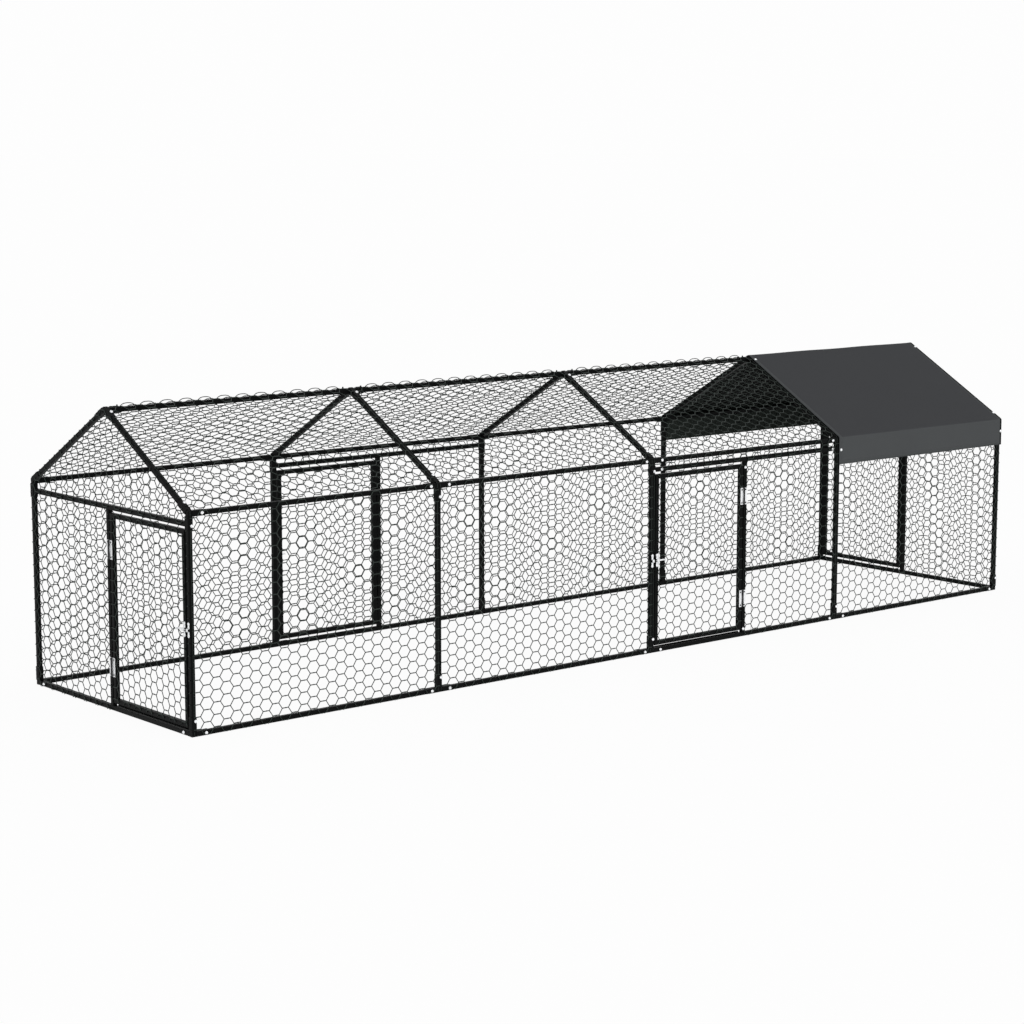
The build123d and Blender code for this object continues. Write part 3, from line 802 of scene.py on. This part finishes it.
class RUN_OT_tubes(bpy.types.Operator):
    """Powder coats the tubes and their connectors"""

    bl_idname = "run.tubes"
    bl_label = "Tubes"

    def execute(self, context):
        black = finish(powder_coat)
        slots = {part["node"]: part["material_slot"] for part in frame["record"]["subparts"]}
        for node, thing in frame["nodes"].items():
            if slots.get(node) in ("powder_coated_tube", "moulded_connector"):
                paint(thing, black)
        return {"FINISHED"}


class RUN_OT_sleeves(bpy.types.Operator):
    """Fits the thin sleeves that the tubes' ends are bolted in, round every joint of the hoops"""

    bl_idname = "run.sleeves"
    bl_label = "Joint sleeves"

    def execute(self, context):
        sizes = context.scene.run_sizes
        wall, reach, half, bevel = sizes.sleeve_wall, sizes.sleeve_reach, TUBE / 2, 0.5 * MM
        wide, deep = half + wall, (-TUBE - wall, wall)
        # Levels of the sleeves on rails, of which the lowest clear the ground, and on posts and rafters
        ground, eave = (0.2 * MM, TUBE + wall), (EAVE - TUBE - wall, EAVE + wall)
        ridge = (RIDGE_RAIL_TOP - TUBE - wall, RIDGE_RAIL_TOP + wall)
        posts = ((TUBE, TUBE + reach), (EAVE - TUBE - reach, EAVE - TUBE))
        rafters = ((half, half + reach), (SLOPE_LENGTH - wide - reach, SLOPE_LENGTH - wide))
        rails = [(s, s + reach) for s in (*(HOOPS[:-1] + half), *(HOOPS[1:] - half - reach))]
        middle = (-HALF_WIDTH - wide, wide - HALF_WIDTH)
        parts = []
        walls, roofs = ((ground, eave), posts), ((), rafters)
        for face, (along, levels) in zip(("front_wall", "back_wall", *ROOFS), (walls, walls, roofs, roofs)):
            parts += [laid(face, flat_bar(s, t, deep, bevel)) for s in rails for t in along]
            # A sleeve up a face is a flat bar that is turned to stand on end.
            for s, t in [(s, t) for s in HOOPS for t in levels]:
                points, faces = flat_bar(t, deep, (s - wide, s + wide), bevel)
                parts.append(laid(face, (np.roll(points, 1, axis=1), faces)))
        parts += [laid("front_wall", flat_bar(s, ridge, middle, bevel)) for s in rails]
        add_piece("joint_sleeves", joined(parts), finish(powder_coat), "frame",
                  smooth=False)
        return {"FINISHED"}


class RUN_OT_sills(bpy.types.Operator):
    """Lays a thin stop strip behind the ground rail at the foot of each door"""

    bl_idname = "run.sills"
    bl_label = "Door sills"

    def execute(self, context):
        sizes = context.scene.run_sizes
        bottom, bevel = 1 * MM, 0.4 * MM
        for door, face in DOOR_FACE.items():
            width = box_on(face, f"{door}_frame")[:, 0]
            depth = (-TUBE - sizes.sill_thickness, -TUBE)
            strip = laid(face, flat_bar(width, (bottom, sizes.sill_top), depth, bevel))
            add_piece(f"{door}_sill", strip, finish(powder_coat), "frame", smooth=False)
        return {"FINISHED"}


class RUN_OT_cover(bpy.types.Operator):
    """Drapes the rain cover over the last bay"""

    bl_idname = "run.cover"
    bl_label = "Roof cover"

    def folded_line(self, corners, run, v, bend):
        """Points of the girth at each v, and the ways out of it: each is the mean of the straight line over a
        window two bends wide, which rounds the folds."""
        spread = np.clip(v[:, None] + np.linspace(-bend, bend, 21), 0, run[-1])
        line = np.stack([np.interp(spread, run, corners[:, k]).mean(1) for k in (0, 1)], axis=-1)
        line[[0, -1]] = corners[[0, -1]]
        way = unit(np.gradient(line, v, axis=0))
        return line, np.stack([-way[:, 1], way[:, 0]], axis=-1)

    def execute(self, context):
        sizes = context.scene.run_sizes
        low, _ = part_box("roof_cover")
        right = HALF_LENGTH + sizes.cover_overhang
        lift, hem, bend = sizes.cover_lift, sizes.cover_hem, 5 * MM
        # The girth: up the front skirt, over the eave, up the slope, and down again behind the ridge
        side = HALF_WIDTH + lift
        eave = EAVE + lift * (1 / FLAT - np.tan(PITCH))
        ridge = EAVE + HALF_WIDTH * np.tan(PITCH) + lift / FLAT
        corners = np.array([(-side, low.z), (-side, eave), (0, ridge), (side, eave), (side, low.z)])
        run = np.append(0, np.cumsum(np.linalg.norm(np.diff(corners, axis=0), axis=1)))
        girth = run[-1]
        # Lines of the grid, closer along hems and folds: u along the run and v round the girth
        hem_lines = hem * np.array([0.5, 0.9, 1.0, 1.1])
        fold_lines = np.add.outer(run[1:-1], 3 * bend * np.linspace(-1, 1, 9)).ravel()
        v = np.hstack([np.linspace(0, girth, 121), fold_lines, hem_lines, girth - hem_lines])
        u = np.hstack([np.linspace(low.x, right, 81), low.x + hem_lines, right - hem_lines])
        u, v = np.unique(u.round(6)), np.unique(v.round(6))
        line, out = self.folded_line(corners, run, v, bend)
        # Outwards: slack between its hoops, slow waves that fade 60 mm from the free hems, and the double hem
        across = ((u - COVER_START) / (HOOPS[-1] - COVER_START))[:, None]
        loose = np.sin(np.pi * np.clip(across, 0, 1))
        from_hem = np.minimum(v, girth - v)
        slack = 0.8 * MM * loose * (1 + np.sin(2 * np.pi * (2.3 * across + 1.1 * v / girth)))
        wave = 2.2 * MM * (0.2 + 0.8 * loose) * (1 + np.sin(2 * np.pi * 3.2 * across + 0.8))
        edge = np.minimum(np.minimum(u - u[0], u[-1] - u)[:, None], from_hem)
        doubled = 0.5 * MM * np.clip((hem - edge) / (0.1 * hem), 0, 1)
        stand = slack + np.exp(-from_hem / (60 * MM)) * wave + doubled
        points = np.dstack([np.broadcast_to(u[:, None], stand.shape), line + stand[..., None] * out])
        index = np.arange(stand.size).reshape(stand.shape)
        here, there = index[:-1], index[1:]
        quads = np.stack([there[:, :-1], there[:, 1:], here[:, 1:], here[:, :-1]], axis=-1).reshape(-1, 4)
        cloth = finish(coated_cloth, hem, u[-1] - u[0], girth, run[1])
        piece = add_piece("cover_cloth", (points.reshape(-1, 3), [quads]), cloth, "frame")
        uv = np.stack(np.broadcast_arrays((u - u[0])[:, None], v), axis=-1).reshape(-1, 2)
        layer = piece.data.uv_layers.new(name="cloth")
        layer.data.foreach_set("uv", uv[quads].astype(np.float32).ravel())
        thicken = piece.modifiers.new("cloth thickness", "SOLIDIFY")
        thicken.thickness, thicken.offset, thicken.material_offset = sizes.cover_thickness, 1.0, 1
        piece.data.materials.append(finish(lining_with_painted_light))
        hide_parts("roof_cover")
        return {"FINISHED"}


class RUN_OT_stage(bpy.types.Operator):
    """Sets the floor, the soft light and the camera"""

    bl_idname = "run.stage"
    bl_label = "Stage"

    def execute(self, context):
        scene = context.scene
        scene.view_settings.view_transform = "Standard"
        far = 400.0
        mesh = bpy.data.meshes.new("floor")
        mesh.from_pydata([(x, y, 0) for x, y in rectangle(-far, -far, far, far)], [], [(0, 1, 2, 3)])
        mesh.materials.append(finish(studio_floor))
        floor = bpy.data.objects.new("floor", mesh)
        scene.collection.objects.link(floor)

        # The world lights the run and shows almost white behind it.
        world = bpy.data.worlds.new("studio")
        world.use_nodes = True
        tree = world.node_tree
        tree.nodes.clear()
        level = add_node(tree, "MapRange", {"Value": in_view(tree), "To Min": 0.6, "To Max": 0.985})
        sky = add_node(tree, "Background", {"Color": (1, 1, 1, 1), "Strength": level})
        add_node(tree, "OutputWorld", {"Surface": sky})
        scene.world = world

        lamps = (("key", (72, 0, -30), 1.6, 40), ("fill", (60, 0, 40), 0.3, 60))
        for name, angles, strength, softness in lamps:
            lamp = bpy.data.lights.new(name, "SUN")
            lamp.energy, lamp.angle = strength, np.radians(softness)
            light = bpy.data.objects.new(name, lamp)
            light.rotation_euler = np.radians(angles)
            scene.collection.objects.link(light)

        # The camera stands where the photograph's rails line up.
        tilt, heading = 8.645, 40.05
        lens = bpy.data.cameras.new("camera")
        lens.sensor_width, lens.lens, lens.clip_end = 36.0, 83.86, 1000
        camera = bpy.data.objects.new("camera", lens)
        camera.location = (-5.9676, -6.796, 1.8447)
        camera.rotation_euler = np.radians((90 - tilt, 0, -heading))
        scene.collection.objects.link(camera)
        scene.camera = camera
        return {"FINISHED"}


class RUN_PT_panel(bpy.types.Panel):
    """Lists the run's pieces, sizes and colours"""

    bl_idname = "RUN_PT_panel"
    bl_label = "Poultry run"
    bl_space_type = "VIEW_3D"
    bl_region_type = "UI"
    bl_category = "Poultry run"

    def draw(self, context):
        for piece in PIECES:
            self.layout.operator(piece.bl_idname)
        for group in (context.scene.run_sizes, context.scene.run_colours):
            box = self.layout.box()
            for key in group.bl_rna.properties.keys():
                if key not in ("rna_type", "name"):
                    box.prop(group, key)


PIECES = (RUN_OT_stage, RUN_OT_tubes, RUN_OT_netting, RUN_OT_frame_bolts, RUN_OT_hinges, RUN_OT_latches,
          RUN_OT_sleeves, RUN_OT_sills, RUN_OT_cover)
CLASSES = (RunSizes, RunColours, *PIECES, RUN_PT_panel)


def register():
    """Registers the classes and hangs the sizes and colours on the scene."""
    for kind in CLASSES:
        bpy.utils.register_class(kind)
    bpy.types.Scene.run_sizes = bpy.props.PointerProperty(type=RunSizes)
    bpy.types.Scene.run_colours = bpy.props.PointerProperty(type=RunColours)


def unregister():
    """Takes the classes and the scene's sizes and colours away again."""
    del bpy.types.Scene.run_sizes, bpy.types.Scene.run_colours
    for kind in reversed(CLASSES):
        bpy.utils.unregister_class(kind)


def main():
    """Builds the stage and every piece."""
    register()
    bpy.ops.run.stage()
    bpy.ops.run.tubes()
    bpy.ops.run.netting()
    bpy.ops.run.frame_bolts()
    bpy.ops.run.hinges()
    bpy.ops.run.latches()
    bpy.ops.run.sleeves()
    bpy.ops.run.sills()
    bpy.ops.run.cover()


if __name__ == "__main__":
    main()
